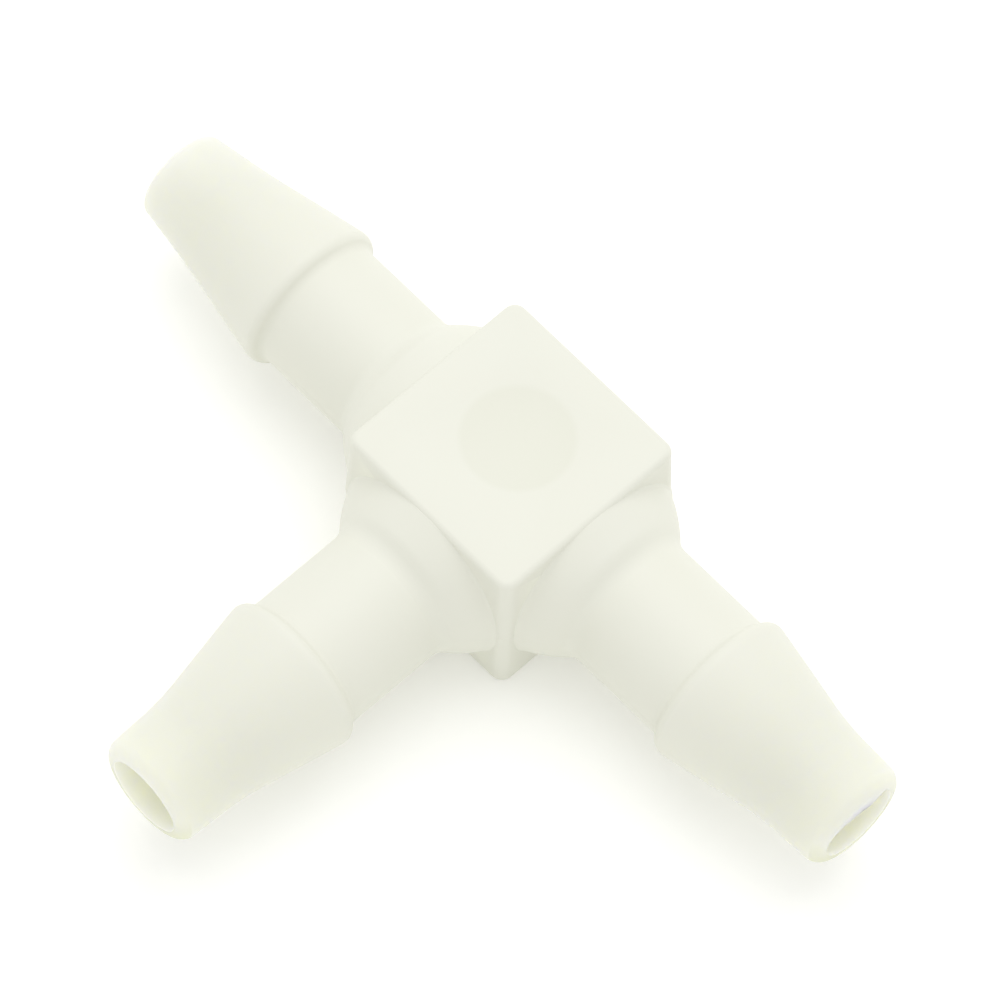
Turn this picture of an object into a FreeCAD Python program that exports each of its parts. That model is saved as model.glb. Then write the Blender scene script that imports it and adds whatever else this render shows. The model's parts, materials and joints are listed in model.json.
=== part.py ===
import FreeCAD, Part
import os
import Sketcher

# Barbed tee for 4 mm bore irrigation hose: a square hub with three hollow barbed spigots.
# The real part is one moulding. It is divided here where its own forms meet: at the foot of
# each flared collar, on the hub's side face, and at the crease where a collar meets its stem.
# Frame: the origin is where the bore axes cross, +X runs along the run, the branch points
# along -Y, and +Z is square to the hub's flat faces. Lengths are in millimetres.

DRIVING_SIZES = (
    ("hub_width", 6.95, "square hub at mid height, along X and along Y"),
    ("hub_height", 6.3, "hub, between its two flat faces"),
    ("hub_draft", 0.1, "how far each side face leans in, from mid height to the flat faces"),
    ("hub_shift", 0.12, "how far the hub's middle lies towards the branch"),
    ("hub_corner_radius", 0.4, "rounding of the four upright edges"),
    ("hub_edge_radius", 0.2, "rounding of the edges round the flat faces"),
    ("bore_radius", 1.25, "water way of the run and of the branch"),
    ("mark_radius", 1.7, "round ejector mark in the top face"),
    ("mark_depth", 0.05, "how far the mark is sunk"),
    ("mark_offset", 0.15, "from above the crossing of the bores, away from the branch"),
    ("collar_inset", 0.05, "from the hub's nearest edges in to the collar's rim"),
    ("collar_length", 1.625, "from the hub's flat faces, at their edge, to the stem"),
    ("collar_curve", 4, "radius of the collar's gently bulging flank"),
    ("collar_root", 0.6, "how deep a collar starts inside the hub before it is cut to it"),
    ("stem_radius", 2.2, "straight neck that the hose grips"),
    ("stem_length", 3.35, "from the collar to the back of the barb"),
    ("barb_height", 0.3, "how far the crest stands out from the stem"),
    ("shoulder_length", 0.2, "steep back of the barb"),
    ("crest_length", 0.25, "straight land on the crest"),
    ("crest_round", 0.1, "rounding of the crest's rear edge"),
    ("nose_length", 3.4, "taper from the crest to the knee"),
    ("knee_wall", 0.58, "wall round the bore where the taper ends"),
    ("pilot_length", 2.2, "from the knee to the mouth"),
    ("mouth_wall", 0.5, "wall at the mouth of the right and branch spigots"),
    ("mouth_round", 0.35, "rounding of their mouth's outer edge"),
    ("left_mouth_wall", 0.25, "wall at the mouth of the left spigot, whose taper carries on"),
    ("left_mouth_round", 0.2, "rounding of the left mouth's outer edge"),
)

# Each arm: its line, its side, its direction about Z in degrees, and its mouth's two sizes.
ARMS = (
    ("run", "_right", 0.0, "mouth_wall", "mouth_round"),
    ("run", "_left", 180.0, "left_mouth_wall", "left_mouth_round"),
    ("branch", "", -90.0, "mouth_wall", "mouth_round"),
)

# The lean of the hub's sides, and radii that follow from the sizes above.
HUB_LEAN = "atan(2 * sizes.hub_draft / sizes.hub_height)"
COLLAR_RADIUS = "min(sizes.hub_width; sizes.hub_height) / 2 - sizes.collar_inset"
CREST_RADIUS = "sizes.stem_radius + sizes.barb_height"
KNEE_RADIUS = "sizes.bore_radius + sizes.knee_wall"

# Places along an arm, from the origin outwards.
HUB_FACE = "sizes.hub_width / 2"
HUB_RIM = f"{HUB_FACE} - sizes.hub_draft"
CREASE = f"{HUB_RIM} + sizes.collar_length"
BARB_BACK = f"{CREASE} + sizes.stem_length"
CREST = f"{BARB_BACK} + sizes.shoulder_length"
CREST_END = f"{CREST} + sizes.crest_length"
KNEE = f"{CREST_END} + sizes.nose_length"
MOUTH = f"{KNEE} + sizes.pilot_length"

NEAR = 1e-6


def make_sheet(doc):
    """The spreadsheet of driving sizes, one named cell each."""
    sheet = doc.addObject("Spreadsheet::Sheet", "sizes")
    for row, (alias, size, note) in enumerate(DRIVING_SIZES, start=1):
        sheet.set(f"A{row}", alias)
        sheet.set(f"B{row}", str(size))
        sheet.set(f"C{row}", note)
        sheet.setAlias(f"B{row}", alias)
    doc.recompute()
    return sheet


def make_body(doc, label, turn=0.0):
    """An empty body, turned about Z."""
    body = doc.addObject("PartDesign::Body", label)
    body.Label = label
    body.Placement = FreeCAD.Placement(
        FreeCAD.Vector(0, 0, 0), FreeCAD.Rotation(FreeCAD.Vector(0, 0, 1), turn)
    )
    return body


def make_sketch(body, name, plane_role):
    """A sketch on one of the body's own origin planes."""
    planes = [item for item in body.Origin.OriginFeatures if item.Role == plane_role]
    sketch = body.newObject("Sketcher::SketchObject", f"{body.Name}_{name}")
    sketch.AttachmentSupport = [(planes[0], "")]
    sketch.MapMode = "FlatFace"
    return sketch


def place_point(sketch, geometry, vertex, across, up):
    """Hold one end of a line or arc at a place given by two expressions."""
    for kind, text in (("DistanceX", across), ("DistanceY", up)):
        size = float(sketch.evalExpression(text))
        index = sketch.addConstraint(Sketcher.Constraint(kind, -1, 1, geometry, vertex, size))
        sketch.setExpression(f"Constraints[{index}]", text)


def draw_outline(sketch, corners, arc_at=None, arc_radius=None):
    """A closed outline through the corners. The side that starts at corner number arc_at is
    an arc that bulges to the left of its way, with a radius given by an expression."""
    places = [
        FreeCAD.Vector(sketch.evalExpression(across), sketch.evalExpression(up), 0)
        for across, up in corners
    ]
    count = len(corners)
    ends = []
    for side in range(count):
        start = places[side]
        finish = places[(side + 1) % count]
        if side == arc_at:
            radius = float(sketch.evalExpression(arc_radius))
            chord = finish - start
            inward = FreeCAD.Vector(chord.y, -chord.x, 0).normalize()
            depth = (radius ** 2 - (chord.Length / 2) ** 2) ** 0.5
            circle = Part.Circle((start + finish) / 2 + inward * depth, FreeCAD.Vector(0, 0, 1), radius)
            sketch.addGeometry(
                Part.ArcOfCircle(circle, circle.parameter(finish), circle.parameter(start)), False
            )
            ends.append((2, 1))
        else:
            sketch.addGeometry(Part.LineSegment(start, finish), False)
            ends.append((1, 2))
    for side in range(count):
        following = (side + 1) % count
        sketch.addConstraint(
            Sketcher.Constraint("Coincident", side, ends[side][1], following, ends[following][0])
        )
    for side, (across, up) in enumerate(corners):
        place_point(sketch, side, ends[side][0], across, up)
    if arc_at is not None:
        index = sketch.addConstraint(Sketcher.Constraint("Radius", arc_at, radius))
        sketch.setExpression(f"Constraints[{index}]", arc_radius)


def draw_circle(sketch, radius, up="0"):
    """A circle on the sketch's vertical axis, its size and height bound to expressions."""
    size = float(sketch.evalExpression(radius))
    height = float(sketch.evalExpression(up))
    circle = Part.Circle(FreeCAD.Vector(0, height, 0), FreeCAD.Vector(0, 0, 1), size)
    sketch.addGeometry(circle, False)
    index = sketch.addConstraint(Sketcher.Constraint("Radius", 0, size))
    sketch.setExpression(f"Constraints[{index}]", radius)
    if height:
        sketch.addConstraint(Sketcher.Constraint("PointOnObject", 0, 3, -2))
        index = sketch.addConstraint(Sketcher.Constraint("DistanceY", -1, 1, 0, 3, height))
        sketch.setExpression(f"Constraints[{index}]", up)
    else:
        sketch.addConstraint(Sketcher.Constraint("Coincident", 0, 3, -1, 1))


def revolve(body, sketch):
    """Turn an outline once round the sketch's horizontal axis."""
    turned = body.newObject("PartDesign::Revolution", f"{body.Name}_turned")
    turned.Profile = sketch
    turned.ReferenceAxis = (sketch, ["H_Axis"])
    turned.Angle = 360
    sketch.Visibility = False
    return turned


def round_edges(doc, body, base, wanted, radius):
    """Fillet the edges of the base feature that the test picks."""
    doc.recompute()
    names = [f"Edge{n}" for n, edge in enumerate(base.Shape.Edges, start=1) if wanted(edge)]
    if not names:
        raise RuntimeError(f"{body.Label}: no edge to round with {radius}")
    fillet = body.newObject("PartDesign::Fillet", f"{body.Name}_{radius}")
    fillet.Base = (base, names)
    fillet.setExpression("Radius", f"sizes.{radius}")
    return fillet


def cut_pocket(doc, body, sketch, name, length, empty_at, both_ways=False):
    """Cut a pocket from the sketch, one way or both, and make sure that it empties a place."""
    pocket = body.newObject("PartDesign::Pocket", f"{body.Name}_{name}")
    pocket.Profile = sketch
    pocket.setExpression("Length", length)
    if both_ways:
        pocket.SideType = "Symmetric"
    sketch.Visibility = False
    doc.recompute()
    if body.Shape.isInside(empty_at, NEAR, True):
        pocket.Reversed = True
        doc.recompute()
    if body.Shape.isInside(empty_at, NEAR, True):
        raise RuntimeError(f"{body.Label}: the {name} pocket misses its place")
    return pocket


def is_upright(edge):
    """Whether an edge runs up the hub, leaning a little."""
    return abs(edge.tangentAt(edge.FirstParameter).z) > 0.9


def lies_level(height):
    """A test for edges that lie wholly at a height above or below the origin."""
    return lambda edge: all(abs(abs(vertex.Z) - height) < NEAR for vertex in edge.Vertexes)


def is_ring(along, radius):
    """A test for the round edges of a radius, at a place along X."""

    def matches(edge):
        if not isinstance(edge.Curve, Part.Circle):
            return False
        return abs(edge.Curve.Center.x - along) < NEAR and abs(edge.Curve.Radius - radius) < NEAR

    return matches


def make_hub(doc):
    """Square hub with rounded edges, the crossing bores and the ejector mark."""
    body = make_body(doc, "hub_block")
    outline = make_sketch(body, "outline", "XY_Plane")
    left = f"-{HUB_FACE}"
    front = f"-{HUB_FACE} - sizes.hub_shift"
    back = f"{HUB_FACE} - sizes.hub_shift"
    draw_outline(outline, [(left, front), (HUB_FACE, front), (HUB_FACE, back), (left, back)])
    block = body.newObject("PartDesign::Pad", "hub_pad")
    block.Profile = outline
    block.setExpression("Length", "sizes.hub_height")
    block.SideType = "Symmetric"
    block.setExpression("TaperAngle", f"-({HUB_LEAN})")
    outline.Visibility = False
    hub_face = float(block.evalExpression(HUB_FACE))
    top = float(block.evalExpression("sizes.hub_height / 2"))
    upright = round_edges(doc, body, block, is_upright, "hub_corner_radius")
    round_edges(doc, body, upright, lies_level(top), "hub_edge_radius")

    run_ring = make_sketch(body, "run_ring", "YZ_Plane")
    draw_circle(run_ring, "sizes.bore_radius")
    in_run = FreeCAD.Vector(hub_face, 0, 0)
    cut_pocket(doc, body, run_ring, "run_bore", "2 * sizes.hub_width", in_run, both_ways=True)

    branch_ring = make_sketch(body, "branch_ring", "XZ_Plane")
    draw_circle(branch_ring, "sizes.bore_radius")
    in_branch = FreeCAD.Vector(0, -hub_face, 0)
    cut_pocket(doc, body, branch_ring, "branch_bore", "sizes.hub_width", in_branch)

    mark_ring = make_sketch(body, "mark_ring", "XY_Plane")
    mark_ring.setExpression("AttachmentOffset.Base.z", "sizes.hub_height / 2")
    draw_circle(mark_ring, "sizes.mark_radius", "sizes.mark_offset")
    in_mark = FreeCAD.Vector(0, 0, top)
    cut_pocket(doc, body, mark_ring, "mark", "sizes.mark_depth", in_mark)
    return body


def make_collar(doc, hub, label, turn):
    """Flared collar round the foot of a spigot, cut to the hub that it grows from."""
    body = make_body(doc, f"{label}_turning", turn)
    outline = make_sketch(body, "outline", "XY_Plane")
    root = f"{HUB_RIM} - sizes.collar_root"
    draw_outline(
        outline,
        [
            (root, "sizes.bore_radius"),
            (root, COLLAR_RADIUS),
            (HUB_RIM, COLLAR_RADIUS),
            (CREASE, "sizes.stem_radius"),
            (CREASE, "sizes.bore_radius"),
        ],
        arc_at=2,
        arc_radius="sizes.collar_curve",
    )
    revolve(body, outline)
    collar = doc.addObject("Part::Cut", label)
    collar.Label = label
    collar.Base = body
    collar.Tool = hub
    return collar


def make_barb(doc, label, turn, wall, rounding):
    """Hollow spigot: stem, barb with a steep back and a long tapered nose, and mouth."""
    body = make_body(doc, label, turn)
    outline = make_sketch(body, "outline", "XY_Plane")
    mouth_radius = f"sizes.bore_radius + sizes.{wall}"
    draw_outline(
        outline,
        [
            (CREASE, "sizes.bore_radius"),
            (CREASE, "sizes.stem_radius"),
            (BARB_BACK, "sizes.stem_radius"),
            (CREST, CREST_RADIUS),
            (CREST_END, CREST_RADIUS),
            (KNEE, KNEE_RADIUS),
            (MOUTH, mouth_radius),
            (MOUTH, "sizes.bore_radius"),
        ],
    )
    turned = revolve(body, outline)
    size_of = turned.evalExpression
    mouth_edge = is_ring(float(size_of(MOUTH)), float(size_of(mouth_radius)))
    crest_edge = is_ring(float(size_of(CREST)), float(size_of(CREST_RADIUS)))
    rounded = round_edges(doc, body, turned, mouth_edge, rounding)
    round_edges(doc, body, rounded, crest_edge, "crest_round")
    return body


def check_document(doc, pieces):
    """Stop if any object failed, or if a piece is not one valid solid."""
    for item in doc.Objects:
        if "Invalid" in item.State or "Error" in item.State:
            raise RuntimeError(f"{item.Label} did not recompute: {item.State}")
    for piece in pieces:
        if piece.Shape.isNull() or not piece.Shape.isValid():
            raise RuntimeError(f"{piece.Label} has no valid shape")
        if len(piece.Shape.Solids) != 1:
            raise RuntimeError(f"{piece.Label} has {len(piece.Shape.Solids)} solids")


def main():
    doc = FreeCAD.newDocument("barbed_tee")
    make_sheet(doc)
    hub = make_hub(doc)
    pieces = [hub]
    for line, side, turn, wall, rounding in ARMS:
        pieces.append(make_collar(doc, hub, f"{line}_collar{side}", turn))
        pieces.append(make_barb(doc, f"{line}_barb{side}", turn, wall, rounding))
    doc.recompute()
    check_document(doc, pieces)
    os.makedirs("parts", exist_ok=True)
    for piece in pieces:
        solid = piece.Shape.Solids[0]
        solid.exportStep(os.path.join("parts", f"{piece.Label}.step"))
        box = solid.optimalBoundingBox()
        print(
            f"{piece.Label}: {solid.Volume:.3f} mm3,"
            f" x {box.XMin:.3f} to {box.XMax:.3f},"
            f" y {box.YMin:.3f} to {box.YMax:.3f},"
            f" z {box.ZMin:.3f} to {box.ZMax:.3f}"
        )


main()
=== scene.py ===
import json
import math

import bmesh
import bpy
from mathutils import Matrix, Vector, noise

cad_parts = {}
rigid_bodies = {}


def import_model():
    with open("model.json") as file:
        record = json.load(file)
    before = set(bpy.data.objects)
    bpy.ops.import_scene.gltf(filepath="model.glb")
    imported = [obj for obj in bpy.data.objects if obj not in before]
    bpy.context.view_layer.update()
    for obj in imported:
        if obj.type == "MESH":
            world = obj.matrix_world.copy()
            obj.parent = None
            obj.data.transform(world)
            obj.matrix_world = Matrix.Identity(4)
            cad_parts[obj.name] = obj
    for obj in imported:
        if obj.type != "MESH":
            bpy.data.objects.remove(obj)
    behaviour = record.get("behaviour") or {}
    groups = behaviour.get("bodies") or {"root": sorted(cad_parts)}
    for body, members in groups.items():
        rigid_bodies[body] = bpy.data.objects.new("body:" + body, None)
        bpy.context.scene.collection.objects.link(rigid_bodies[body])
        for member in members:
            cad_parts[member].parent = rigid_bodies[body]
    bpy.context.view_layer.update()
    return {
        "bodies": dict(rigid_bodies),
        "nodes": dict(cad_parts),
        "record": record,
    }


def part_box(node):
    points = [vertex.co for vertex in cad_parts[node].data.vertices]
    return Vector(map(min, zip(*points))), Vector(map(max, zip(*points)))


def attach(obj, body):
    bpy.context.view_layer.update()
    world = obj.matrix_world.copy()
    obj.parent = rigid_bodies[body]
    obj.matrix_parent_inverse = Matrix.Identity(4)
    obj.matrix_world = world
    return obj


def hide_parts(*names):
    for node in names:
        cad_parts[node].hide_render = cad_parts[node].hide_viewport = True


# Barbed tee: a square hub, a flared collar at the foot of each spigot, and the barbed spigots.
# Sizes in the dictionaries are millimetres; places come from the frame.

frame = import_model()
mm = 0.001
samePlace = 1e-7  # metres; points nearer than this are one
atRing = 1e-6  # metres; how near a point lies to a ring or level that it belongs to
body = next(iter(frame["bodies"]))
mounts = {mount["name"]: mount for mount in frame["record"]["mounts"]}
boreRadius = mounts["run_bore"]["dims"]["r_mm"] * mm
print("frame loaded:", sorted(frame["nodes"]))

# each arm: its nodes, its direction about Z in degrees, its crest mount, and its mouth's form
arms = [
    {"collar": "run_collar_right", "barb": "run_barb_right", "turn": 0,
     "crest": "run_right_barb_crest", "mouth": "plain"},
    {"collar": "run_collar_left", "barb": "run_barb_left", "turn": 180,
     "crest": "run_left_barb_crest", "mouth": "tapered"},
    {"collar": "branch_collar", "barb": "branch_barb", "turn": -90,
     "crest": "branch_barb_crest", "mouth": "plain"},
]

moulding = {
    "steps": 160,  # faces round each turned surface
    "stemRadius": 2.2,  # shared by the collars and the spigots
    "spacing": 0.32,  # between edge loops along an arm
    "seamHeight": 0.005,  # parting line, where the two mould halves met
    "seamWidth": 0.03,
    "waviness": 0.006,  # slight unevenness of cooled plastic
    "waveLength": 1.6,
    "waveFade": 0.4,  # over this length the waviness dies out at a piece's ends
    "boreMargin": 1.1,  # skin starts at this many bore radii; anything nearer the axis is bore
    "sharpAbove": 28,  # degrees; edges that turn less are shaded smooth
}


def alongArm(vertex):
    return vertex.co.x


def offAxis(vertex):
    return math.hypot(vertex.co.y, vertex.co.z)


def turnOutline(outline):
    # a closed outline of (along, radius) in metres, spun once about X
    bm = bmesh.new()
    corners = [bm.verts.new((along, radius, 0)) for along, radius in outline]
    sides = [bm.edges.new((corners[i - 1], corners[i])) for i in range(len(corners))]
    bmesh.ops.spin(
        bm, geom=corners + sides, cent=(0, 0, 0), axis=(1, 0, 0), dvec=(0, 0, 0), angle=math.tau,
        steps=moulding["steps"], use_merge=True, use_normal_flip=False, use_duplicate=False,
    )
    bmesh.ops.remove_doubles(bm, verts=bm.verts, dist=samePlace)
    bmesh.ops.recalc_face_normals(bm, faces=bm.faces)
    return bm


def roundRing(bm, along, radius, width, segments):
    # bevel the ring of edges at one corner of the outline
    def isOn(vertex):
        return abs(alongArm(vertex) - along) < atRing and abs(offAxis(vertex) - radius) < atRing

    ring = [edge for edge in bm.edges if isOn(edge.verts[0]) and isOn(edge.verts[1])]
    bmesh.ops.bevel(
        bm, geom=ring, offset=width, offset_type="OFFSET", affect="EDGES",
        segments=segments, profile=0.5, material=-1, clamp_overlap=True,
    )


def cutAcross(bm, place, normal):
    # an extra loop of edges where a plane passes
    geom = bm.verts[:] + bm.edges[:] + bm.faces[:]
    bmesh.ops.bisect_plane(bm, geom=geom, dist=samePlace, plane_co=place, plane_no=normal)


def raiseSeam(bm, outward):
    # the fine raised line at half height; outward says which way a point on it moves, if it does
    width = moulding["seamWidth"] * mm
    for height in (-width, 0, width):
        cutAcross(bm, (0, 0, height), (0, 0, 1))
    bm.normal_update()
    for vertex in bm.verts:
        if abs(vertex.co.z) < samePlace:
            vertex.co += outward(vertex) * moulding["seamHeight"] * mm


def fromAxis(vertex):
    # sideways off the arm's skin, nothing in the bore
    if offAxis(vertex) < boreRadius * moulding["boreMargin"]:
        return Vector()
    return Vector((0, math.copysign(1, vertex.co.y), 0))


def fromBlock(vertex):
    # level, straight out of the hub's side
    return Vector((vertex.normal.x, vertex.normal.y, 0)).normalized()


def coolUnevenly(bm):
    # barely visible waviness, off the bore, and fading out where a neighbour meets this piece
    size = moulding["waveLength"] * mm
    start = min(alongArm(vertex) for vertex in bm.verts)
    finish = max(alongArm(vertex) for vertex in bm.verts)
    fade = moulding["waveFade"] * mm
    for vertex in bm.verts:
        if offAxis(vertex) > boreRadius * moulding["boreMargin"]:
            share = min(1, (alongArm(vertex) - start) / fade, (finish - alongArm(vertex)) / fade)
            wave = noise.noise(vertex.co / size) * moulding["waviness"] * mm
            vertex.co += vertex.normal * wave * share


def toObject(bm, name, turn=0):
    # a finished mesh, turned about Z into its arm's direction
    turned = Matrix.Rotation(math.radians(turn), 3, "Z")
    bmesh.ops.rotate(bm, verts=bm.verts, cent=(0, 0, 0), matrix=turned)
    mesh = bpy.data.meshes.new(name)
    bm.to_mesh(mesh)
    bm.free()
    piece = bpy.data.objects.new(name, mesh)
    bpy.context.scene.collection.objects.link(piece)
    return piece


def pieceName(node):
    # run_barb_left becomes RunBarbLeft
    return node.replace("_", " ").title().replace(" ", "")


def armReach(node):
    # how far a node reaches out from the crossing of the bores
    low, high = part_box(node)
    return max(abs(side) for side in (low.x, high.x, low.y, high.y))


def shadeSoft(piece):
    piece.data.shade_smooth()
    piece.data.set_sharp_from_angle(angle=math.radians(moulding["sharpAbove"]))


def carve(piece, cutters):
    # take the cutters away from a piece and drop them
    for cutter in cutters:
        cut = piece.modifiers.new(cutter.name, "BOOLEAN")
        cut.operation = "DIFFERENCE"
        cut.solver = "EXACT"
        cut.object = cutter
    bpy.context.view_layer.update()
    shaped = piece.evaluated_get(bpy.context.evaluated_depsgraph_get())
    carved = bpy.data.meshes.new_from_object(shaped)
    piece.modifiers.clear()
    piece.data = carved
    for cutter in cutters:
        bpy.data.objects.remove(cutter)


hub = {
    "draft": 0.1,  # how far each side face leans in, from mid height to the flat faces
    "cornerRadius": 0.4,  # the four upright edges
    "cornerSteps": 10,
    "edgeRadius": 0.2,  # the edges round the flat faces
    "edgeSteps": 8,
    "support": 0.05,  # loops beside a rounding, which keep the flat faces flat
    "markRadius": 1.7,
    "markDepth": 0.05,
    "markOffset": 0.15,
    "markBank": 0.2,  # slope from the face down into the mark
    "branchShare": 0.995,  # the branch bore is a hair narrower than the run's, so they cut cleanly
}
hubLow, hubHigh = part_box("hub_block")
hubSide = hubHigh.x - hub["draft"] * mm  # the side faces, where they reach the flat ones
hubMiddle = (hubLow.y + hubHigh.y) / 2  # the hub lies a little towards the branch
hubTop = hubHigh.z


def cylinderCutter(name, radius, start, finish):
    # a rod from start to finish
    bm = bmesh.new()
    length = (finish - start).length
    bmesh.ops.create_cone(
        bm, cap_ends=True, segments=moulding["steps"], radius1=radius, radius2=radius, depth=length
    )
    toward = (finish - start).to_track_quat("Z", "Y").to_matrix()
    bmesh.ops.rotate(bm, verts=bm.verts, cent=(0, 0, 0), matrix=toward)
    bmesh.ops.translate(bm, verts=bm.verts, vec=(start + finish) / 2)
    return toObject(bm, name)


def markCutter():
    # a shallow dish with a banked wall, as far above the face as below it
    depth = hub["markDepth"] * mm
    radius = hub["markRadius"] * mm
    bank = hub["markBank"] * mm
    bm = bmesh.new()
    bmesh.ops.create_cone(
        bm, cap_ends=True, segments=moulding["steps"],
        radius1=radius - bank / 2, radius2=radius + bank * 1.5, depth=depth * 2,
    )
    bmesh.ops.translate(bm, verts=bm.verts, vec=(0, hub["markOffset"] * mm, hubTop))
    return toObject(bm, "mark_cutter")


def leanSides(bm):
    # the side faces are fullest at mid height
    for vertex in bm.verts:
        fuller = 1 + hub["draft"] * mm * (1 - abs(vertex.co.z) / hubTop) / hubSide
        vertex.co.x *= fuller
        vertex.co.y *= fuller


def makeHub():
    corner = hub["cornerRadius"] * mm
    rim = hub["edgeRadius"] * mm
    near = hub["support"] * mm
    bm = bmesh.new()
    bmesh.ops.create_cube(bm, size=2)
    bmesh.ops.scale(bm, vec=(hubSide, hubSide, hubTop), verts=bm.verts)
    upright = [edge for edge in bm.edges if abs(edge.verts[0].co.z - edge.verts[1].co.z) > hubTop]
    bmesh.ops.bevel(
        bm, geom=upright, offset=corner, affect="EDGES", segments=hub["cornerSteps"],
        profile=0.5, material=-1,
    )
    level = [edge for edge in bm.edges if abs(edge.verts[0].co.z - edge.verts[1].co.z) < samePlace]
    bmesh.ops.bevel(
        bm, geom=level, offset=rim, affect="EDGES", segments=hub["edgeSteps"],
        profile=0.5, material=-1,
    )
    for side in (-1, 1):
        beside = side * (hubSide - corner - near)
        cutAcross(bm, (beside, 0, 0), (1, 0, 0))
        cutAcross(bm, (0, beside, 0), (0, 1, 0))
        cutAcross(bm, (0, 0, side * (hubTop - rim - near)), (0, 0, 1))
    raiseSeam(bm, fromBlock)
    leanSides(bm)
    bmesh.ops.translate(bm, verts=bm.verts, vec=(0, hubMiddle, 0))
    piece = toObject(bm, pieceName("hub_block"))
    left, right, front = (Vector(way) * 2 * hubSide for way in ((-1, 0, 0), (1, 0, 0), (0, -1, 0)))
    runCutter = cylinderCutter("run_cutter", boreRadius, left, right)
    branchCutter = cylinderCutter("branch_cutter", boreRadius * hub["branchShare"], Vector(), front)
    carve(piece, [runCutter, branchCutter, markCutter()])
    shadeSoft(piece)
    return piece


collar = {
    "sunk": 0.12,  # how far it starts inside the hub
    "footSwell": 0.1,  # how far the flank's foot stands out from the stated rim, at the hub's corners
    "footBlend": 0.3,  # radius of the soft corner against the hub's side face
    "flankCurve": 4.0,  # radius of the gently bulging flank
    "flankSteps": 14,
    "creaseBlend": 0.7,  # radius of the soft corner where the flank runs out on the stem
    "blendSteps": 8,
    "creaseEnd": 0.1,  # how far past the crease the soft corner ends, where the spigot starts
    "pointGap": 0.02,  # least step along the arm between the foot's last point and the flank's
    "squareness": 4,  # how strongly the foot's straight sides are drawn in, against its corners
    "slopeGuess": 0.5,  # radians, improved over the rounds below
    "slopeRounds": 40,
}


def arcBetween(start, finish, radius, steps):
    # points of an arc that bulges away from the axis
    start, finish = Vector(start), Vector(finish)
    chord = finish - start
    inward = Vector((chord.y, -chord.x)).normalized()
    centre = (start + finish) / 2 + inward * math.sqrt(radius ** 2 - (chord.length / 2) ** 2)
    first = math.atan2(start.y - centre.y, start.x - centre.x)
    last = math.atan2(finish.y - centre.y, finish.x - centre.x)
    points = []
    for step in range(steps + 1):
        angle = first + (last - first) * step / steps
        points.append((centre.x + radius * math.cos(angle), centre.y + radius * math.sin(angle)))
    return points


def flankSlope(top, end, blend):
    # angle to the axis at which the flank runs into the soft corner on the stem
    curve = collar["flankCurve"] * mm
    slope = collar["slopeGuess"]
    for _ in range(collar["slopeRounds"]):
        chord = blendPoint(end, blend, slope) - top
        slope = math.atan2(-chord.y, chord.x) + math.asin(chord.length / 2 / curve)
    return slope


def blendPoint(end, blend, angle):
    # a point of the soft corner that runs out level at its end
    return Vector((end.x - blend * math.sin(angle), end.y + blend * (1 - math.cos(angle))))


def makeCollar(arm):
    low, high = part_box(arm["collar"])
    steps = collar["blendSteps"]
    face = (-hubLow.y if arm["turn"] == -90 else hubHigh.x) - hub["draft"] * mm
    top = Vector((face, (high.z - low.z) / 2 + collar["footSwell"] * mm))
    end = Vector((armReach(arm["collar"]) + collar["creaseEnd"] * mm, moulding["stemRadius"] * mm))
    blend = collar["creaseBlend"] * mm
    slope = flankSlope(top, end, blend)
    runOut = blendPoint(end, blend, slope)
    flank = arcBetween(top, runOut, collar["flankCurve"] * mm, collar["flankSteps"])

    # soft corner on the hub: level with the side face, then down to the flank
    foot = collar["footBlend"] * mm
    lean = math.atan2(flank[0][1] - flank[2][1], flank[2][0] - flank[0][0])
    centre = Vector((face + foot, top.y - foot * math.tan(lean) + foot / math.cos(lean)))
    root = face - collar["sunk"] * mm
    outline = [(root, boreRadius), (root, centre.y)]
    for step in range(steps + 1):
        angle = (math.pi / 2 - lean) * step / steps
        outline.append((centre.x - foot * math.cos(angle), centre.y - foot * math.sin(angle)))
    clear = outline[-1][0] + collar["pointGap"] * mm
    outline += [point for point in flank if point[0] > clear]
    for step in range(1, steps + 1):
        outline.append(tuple(blendPoint(end, blend, slope * (1 - step / steps))))
    outline.append((end.x, boreRadius))
    bm = turnOutline(outline)
    raiseSeam(bm, fromAxis)
    coolUnevenly(bm)
    keepToHub(bm, face, math.tan(lean))
    piece = toObject(bm, pieceName(arm["collar"]), arm["turn"])
    shadeSoft(piece)
    return piece


def keepToHub(bm, face, fall):
    # draw the round foot in to the hub's nearer side and its flat faces, and further in up the flank
    edges = {"y": hubSide + hubMiddle, "z": hubTop - hub["edgeRadius"] / 2 * mm}
    for vertex in bm.verts:
        drop = max(0, alongArm(vertex) - face) * fall
        radius = offAxis(vertex)
        for axis, edge in edges.items():
            side = getattr(vertex.co, axis)
            over = max(0, radius - edge + drop) / radius
            setattr(vertex.co, axis, side * (1 - over * (side / radius) ** collar["squareness"]))


barb = {
    "stemLength": 3.35,  # from the collar's crease to the back of the barb
    "footRound": 0.16,
    "footSteps": 4,
    "shoulder": 0.2,  # length of the barb's steep back
    "crestLength": 0.25,
    "crestRound": 0.17,  # rear edge of the crest
    "crestSteps": 5,
    "crestFrontRound": 0.16,
    "crestFrontSteps": 4,
    "noseLength": 3.4,
    "kneeWall": 0.58,  # wall round the bore where the nose's taper ends
    "kneeRound": 0.6,
    "kneeSteps": 8,
    "mouthWall": {"plain": 0.5, "tapered": 0.25},
    "mouthRound": {"plain": 0.42, "tapered": 0.19},
    "mouthSteps": 8,
    "lipRound": 0.05,  # inner edge of the mouth
    "lipSteps": 4,
}

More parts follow.
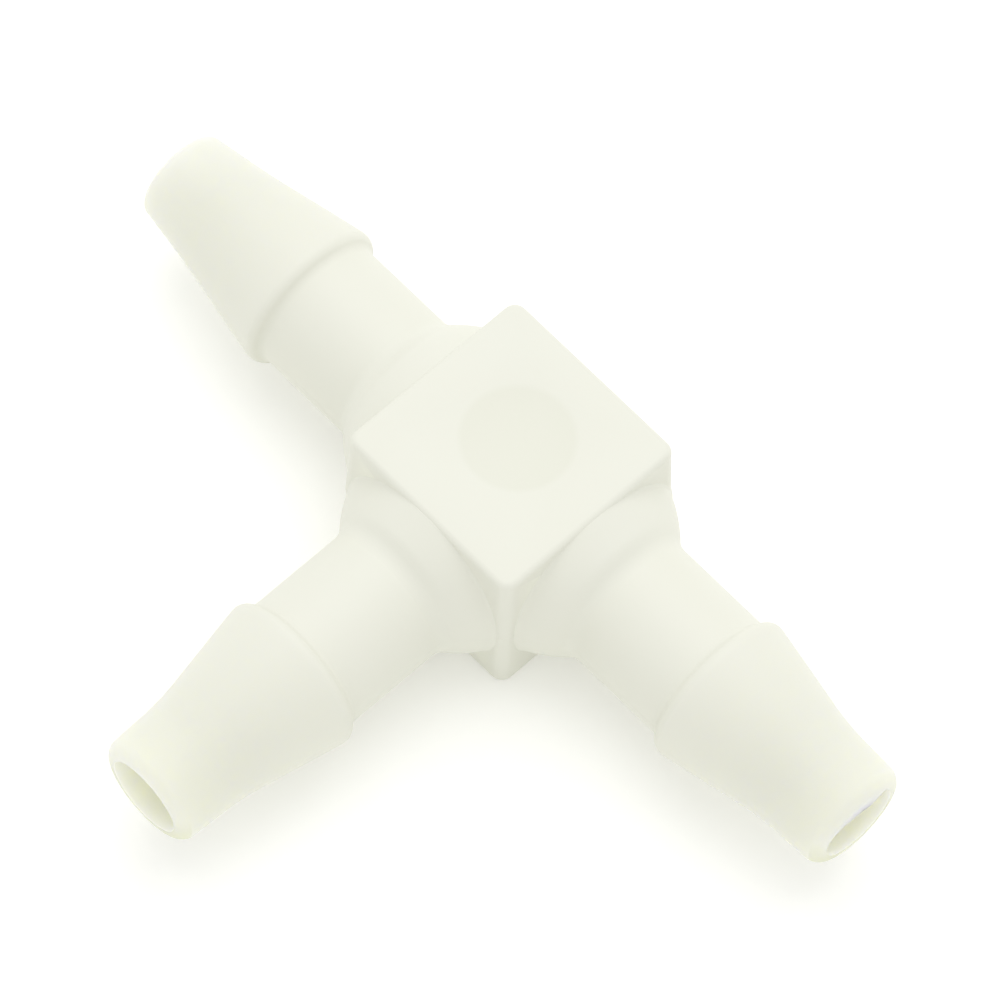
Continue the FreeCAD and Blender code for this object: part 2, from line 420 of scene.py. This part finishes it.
flash = {  # a flap of plastic left over the right mouth's inner edge
    "start": 38,  # degrees about the bore, from level
    "finish": 165,
    "bluntSide": 14,  # degrees over which it rises from its start
    "gentleSide": 70,  # and over which it falls to its finish
    "reach": 0.62,  # how far it hangs into the bore
    "depth": 0.45,  # how far back from the mouth it goes
    "rootShare": 1.1,  # it grows out of the bore and this many of the lip's rounding
}


def makeBarb(arm):
    crestRadius = mounts[arm["crest"]]["dims"]["r_mm"] * mm
    crestMiddle = Vector(mounts[arm["crest"]]["pos_m"]).length
    crestStart = crestMiddle - barb["crestLength"] * mm / 2
    crestEnd = crestMiddle + barb["crestLength"] * mm / 2
    foot = crestStart - barb["shoulder"] * mm
    start = foot - (barb["stemLength"] - collar["creaseEnd"]) * mm
    knee = crestEnd + barb["noseLength"] * mm
    mouth = armReach(arm["barb"])
    stem = moulding["stemRadius"] * mm
    kneeRadius = boreRadius + barb["kneeWall"] * mm
    mouthRadius = boreRadius + barb["mouthWall"][arm["mouth"]] * mm
    bm = turnOutline([
        (start, boreRadius), (start, stem), (foot, stem), (crestStart, crestRadius),
        (crestEnd, crestRadius), (knee, kneeRadius), (mouth, mouthRadius), (mouth, boreRadius),
    ])
    roundRing(bm, foot, stem, barb["footRound"] * mm, barb["footSteps"])
    roundRing(bm, crestStart, crestRadius, barb["crestRound"] * mm, barb["crestSteps"])
    roundRing(bm, crestEnd, crestRadius, barb["crestFrontRound"] * mm, barb["crestFrontSteps"])
    roundRing(bm, knee, kneeRadius, barb["kneeRound"] * mm, barb["kneeSteps"])
    roundRing(bm, mouth, mouthRadius, barb["mouthRound"][arm["mouth"]] * mm, barb["mouthSteps"])
    roundRing(bm, mouth, boreRadius, barb["lipRound"] * mm, barb["lipSteps"])
    loops = int((mouth - start) / (moulding["spacing"] * mm))
    for loop in range(1, loops + 1):
        cutAcross(bm, (start + loop * (mouth - start) / (loops + 1), 0, 0), (1, 0, 0))
    raiseSeam(bm, fromAxis)
    coolUnevenly(bm)
    if arm["barb"] == "run_barb_right":
        leaveFlash(bm, mouth)
    piece = toObject(bm, pieceName(arm["barb"]), arm["turn"])
    shadeSoft(piece)
    return piece


def leaveFlash(bm, mouth):
    # pull a stretch of the lip inwards, less towards its sides and towards the back
    root = boreRadius + barb["lipRound"] * flash["rootShare"] * mm
    for vertex in bm.verts:
        around = math.degrees(math.atan2(vertex.co.z, vertex.co.y))
        behind = (mouth - alongArm(vertex)) / (flash["depth"] * mm)
        if offAxis(vertex) < root and behind < 1:
            rise = (around - flash["start"]) / flash["bluntSide"]
            fall = (flash["finish"] - around) / flash["gentleSide"]
            share = max(0, min(1, rise, fall))
            share = share * share * (3 - 2 * share) * (1 - behind)
            towardAxis = Vector((0, -vertex.co.y, -vertex.co.z)).normalized()
            vertex.co += towardAxis * flash["reach"] * mm * share


plastic = {
    "tint": (0.79, 0.795, 0.71, 1),
    "warmTint": (0.78, 0.78, 0.685, 1),
    "tintScale": 300,
    "tintDetail": 3,
    "thinTint": (0.755, 0.76, 0.675, 1),  # the thin nose lets some of its light out
    "markToneAndRimShadeTint": (0.63, 0.64, 0.50, 1),  # painted shade on the undersides of the mouths' rims, and, faintly, the ejector mark's own darker tone
    # painted light: where the value named depth says, the bore walls are brighter and yellower,
    # standing in for light coming through the thin walls
    "paintedBoreGlowTint": (0.94, 0.955, 0.81, 1),
    "boreMargin": 1.02,  # points within this many bore radii are in the bore
    "thinRamp": 1.5,  # above 1, the nose is at its thinnest before the mouth
    "markDullness": 0.16,
    "lipDepth": 0.3,  # mm of each nose that count as its rim
    "rimShadeLevel": 0.5,  # strength of the painted shade on the rim at mid height
    "refraction": 1.53,
    "sheen": 0.3,
    "roughness": (0.42, 0.54),
    "grainScale": 5200,
    "grainDetail": 4,
    "grainRoughness": 0.6,
    "grainStrength": 0.6,
    "grainDepth": 0.000003,  # metres
    "scatterDepth": 0.0014,  # metres
    "scatterColour": (1.0, 1.0, 0.62),
}


def markPoints(piece, name, rule):
    # a value from 0 to 1 for each point, which the material reads by its name
    values = piece.data.attributes.new(name, "FLOAT", "POINT")
    for point, vertex in zip(values.data, piece.data.vertices):
        point.value = rule(vertex.co)


def nowhere(place):
    return 0.0


def thinWall(arm):
    # 0 as far as the crest, rising to 1 where the nose is thin enough to let light through
    crest = Vector(mounts[arm["crest"]]["pos_m"]).length
    mouth = armReach(arm["barb"])

    def rule(place):
        share = plastic["thinRamp"] * (max(abs(place.x), abs(place.y)) - crest) / (mouth - crest)
        return max(0, min(1, share))

    return rule


# masks for the painted light on the bore walls
def inRunBore(place):
    return 1.0 if math.hypot(place.y, place.z) < boreRadius * plastic["boreMargin"] else 0.0


def inBranchBore(place):
    return 1.0 if math.hypot(place.x, place.z) < boreRadius * plastic["boreMargin"] else 0.0


def inEitherBore(place):
    return max(inRunBore(place), inBranchBore(place) if place.y < 0 else 0.0)


def onMark(place):
    # the floor of the ejector mark
    floor = hubTop - hub["markDepth"] * mm
    return plastic["markDullness"] if abs(place.z - floor) < atRing else 0.0


def paintedRimShade(arm):
    # painted shade on the mouth's rim, darkest underneath where less light reaches: 1 underneath,
    # fading to 0 above mid height
    mouth = armReach(arm["barb"])

    def rule(place):
        if mouth - max(abs(place.x), abs(place.y)) > plastic["lipDepth"] * mm:
            return 0.0
        return max(0, min(1, plastic["rimShadeLevel"] - place.z / boreRadius))

    return rule


def overlay(tree, under, attribute, tint):
    # lay a tint over a colour wherever the named value says
    value = tree.nodes.new("ShaderNodeAttribute")
    value.attribute_name = attribute
    mix = tree.nodes.new("ShaderNodeMix")
    mix.data_type = "RGBA"
    mix.inputs["B"].default_value = plastic[tint]
    tree.links.new(value.outputs["Fac"], mix.inputs["Factor"])
    tree.links.new(under, mix.inputs["A"])
    return mix.outputs["Result"]


def mouldedPlastic(name):
    material = bpy.data.materials.new(name)
    material.use_nodes = True
    nodes, links = material.node_tree.nodes, material.node_tree.links
    shader = nodes["Principled BSDF"]
    shader.inputs["IOR"].default_value = plastic["refraction"]
    shader.inputs["Specular IOR Level"].default_value = plastic["sheen"]
    shader.inputs["Subsurface Radius"].default_value = plastic["scatterColour"]
    shader.inputs["Subsurface Scale"].default_value = plastic["scatterDepth"]
    place = nodes.new("ShaderNodeTexCoord")

    cloud = nodes.new("ShaderNodeTexNoise")  # slow drift of tint through the plastic
    cloud.inputs["Scale"].default_value = plastic["tintScale"]
    cloud.inputs["Detail"].default_value = plastic["tintDetail"]
    links.new(place.outputs["Object"], cloud.inputs["Vector"])
    skin = nodes.new("ShaderNodeMix")
    skin.data_type = "RGBA"
    skin.inputs["A"].default_value = plastic["tint"]
    skin.inputs["B"].default_value = plastic["warmTint"]
    links.new(cloud.outputs["Fac"], skin.inputs["Factor"])

    thin = nodes.new("ShaderNodeAttribute")  # only the thin nose lets light through
    thin.attribute_name = "thin"
    links.new(thin.outputs["Fac"], shader.inputs["Subsurface Weight"])

    colour = skin.outputs["Result"]
    # the nose's tint for light lost through its thin wall, painted shade under the rims with the
    # mark's own tone, and painted light in the bores
    for attribute, tint in (("thin", "thinTint"), ("markToneAndRimShade", "markToneAndRimShadeTint"), ("depth", "paintedBoreGlowTint")):
        colour = overlay(material.node_tree, colour, attribute, tint)
    links.new(colour, shader.inputs["Base Color"])

    grain = nodes.new("ShaderNodeTexNoise")  # fine texture left by the mould
    grain.inputs["Scale"].default_value = plastic["grainScale"]
    grain.inputs["Detail"].default_value = plastic["grainDetail"]
    grain.inputs["Roughness"].default_value = plastic["grainRoughness"]
    links.new(place.outputs["Object"], grain.inputs["Vector"])
    bump = nodes.new("ShaderNodeBump")
    bump.inputs["Strength"].default_value = plastic["grainStrength"]
    bump.inputs["Distance"].default_value = plastic["grainDepth"]
    links.new(grain.outputs["Fac"], bump.inputs["Height"])
    links.new(bump.outputs["Normal"], shader.inputs["Normal"])

    sheen = nodes.new("ShaderNodeMapRange")
    sheen.inputs["To Min"].default_value = plastic["roughness"][0]
    sheen.inputs["To Max"].default_value = plastic["roughness"][1]
    links.new(grain.outputs["Fac"], sheen.inputs["Value"])
    links.new(sheen.outputs["Result"], shader.inputs["Roughness"])
    return material


studio = {
    "floorSize": 2,  # metres from its middle to each side
    "floorTint": (0.95, 0.95, 0.93, 1),
    "floorRoughness": 0.9,
    "floorSheen": 0.1,
    "floorGlow": 0.14,
    "glowTint": (1, 1, 0.98, 1),
    "skyTint": (1, 1, 1, 1),
    "skyStrength": 0.86,
    "softboxPower": 0.74,
    "softboxSize": 0.45,  # metres, as its place is
    "softboxPlace": (-0.1, 0.14, 0.41),
    "azimuth": 43.83,
    "elevation": 63.34,
    "roll": 3.13,
    "distance": 192.6,  # mm
    "lens": 238.0,
    "sensor": 36,
    "nearest": 0.01,  # metres; nothing closer to the camera is drawn
    "aimRight": -0.33,  # mm, where the picture's centre lies beside the crossing of the bores
    "aimUp": -0.28,
}


def makeFloor():
    # a glowing white ground that the hub rests on
    bm = bmesh.new()
    bmesh.ops.create_grid(bm, x_segments=1, y_segments=1, size=studio["floorSize"])
    bmesh.ops.translate(bm, verts=bm.verts, vec=(0, 0, hubLow.z))
    floor = toObject(bm, "floor")
    paper = bpy.data.materials.new("floorPaper")
    paper.use_nodes = True
    shader = paper.node_tree.nodes["Principled BSDF"]
    shader.inputs["Base Color"].default_value = studio["floorTint"]
    shader.inputs["Roughness"].default_value = studio["floorRoughness"]
    shader.inputs["Specular IOR Level"].default_value = studio["floorSheen"]
    shader.inputs["Emission Color"].default_value = studio["glowTint"]
    shader.inputs["Emission Strength"].default_value = studio["floorGlow"]
    floor.data.materials.append(paper)


def makeLights():
    world = bpy.data.worlds.new("studioSky")
    world.use_nodes = True
    sky = world.node_tree.nodes["Background"]
    sky.inputs["Color"].default_value = studio["skyTint"]
    sky.inputs["Strength"].default_value = studio["skyStrength"]
    bpy.context.scene.world = world
    box = bpy.data.lights.new("softbox", "AREA")
    box.shape = "SQUARE"
    box.size = studio["softboxSize"]
    box.energy = studio["softboxPower"]
    lamp = bpy.data.objects.new("softbox", box)
    lamp.location = studio["softboxPlace"]
    lamp.rotation_mode = "QUATERNION"
    lamp.rotation_quaternion = (-lamp.location).to_track_quat("-Z", "Y")
    bpy.context.scene.collection.objects.link(lamp)


def makeCamera():
    around, above, tilt = (math.radians(studio[key]) for key in ("azimuth", "elevation", "roll"))
    out = math.cos(above)
    back = Vector((math.sin(around) * out, -math.cos(around) * out, math.sin(above)))
    level = Vector((math.cos(around), math.sin(around), 0))
    upward = back.cross(level)
    right = level * math.cos(tilt) + upward * math.sin(tilt)
    up = upward * math.cos(tilt) - level * math.sin(tilt)
    aim = right * studio["aimRight"] * mm + up * studio["aimUp"] * mm
    lens = bpy.data.cameras.new("camera")
    lens.lens = studio["lens"]
    lens.sensor_width = studio["sensor"]
    lens.clip_start = studio["nearest"]
    camera = bpy.data.objects.new("camera", lens)
    facing = Matrix((right, up, back)).transposed().to_4x4()
    camera.matrix_world = Matrix.Translation(aim + back * studio["distance"] * mm) @ facing
    bpy.context.scene.collection.objects.link(camera)
    bpy.context.scene.camera = camera


white = mouldedPlastic("whiteNylon")
made = [("hub_block", makeHub(), {"depth": inEitherBore, "markToneAndRimShade": onMark, "thin": nowhere})]
print("hub shaped")
for arm in arms:
    # inBore says where the bore's painted light goes
    inBore = inBranchBore if arm["turn"] == -90 else inRunBore
    collarRules = {"depth": inBore, "markToneAndRimShade": nowhere, "thin": nowhere}
    # the barb's rim gets painted shade underneath, and its bore the painted light
    barbRules = {"depth": inBore, "markToneAndRimShade": paintedRimShade(arm), "thin": thinWall(arm)}
    made.append((arm["collar"], makeCollar(arm), collarRules))
    made.append((arm["barb"], makeBarb(arm), barbRules))
    print("arm shaped:", arm["barb"])
for node, piece, rules in made:
    for name, rule in rules.items():
        markPoints(piece, name, rule)
    piece.data.materials.clear()
    piece.data.materials.append(white)
    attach(piece, body)
    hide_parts(node)
    print(node, "as", piece.name, len(piece.data.polygons), "faces")
makeFloor()
makeLights()
makeCamera()
bpy.context.scene.view_settings.view_transform = "Standard"
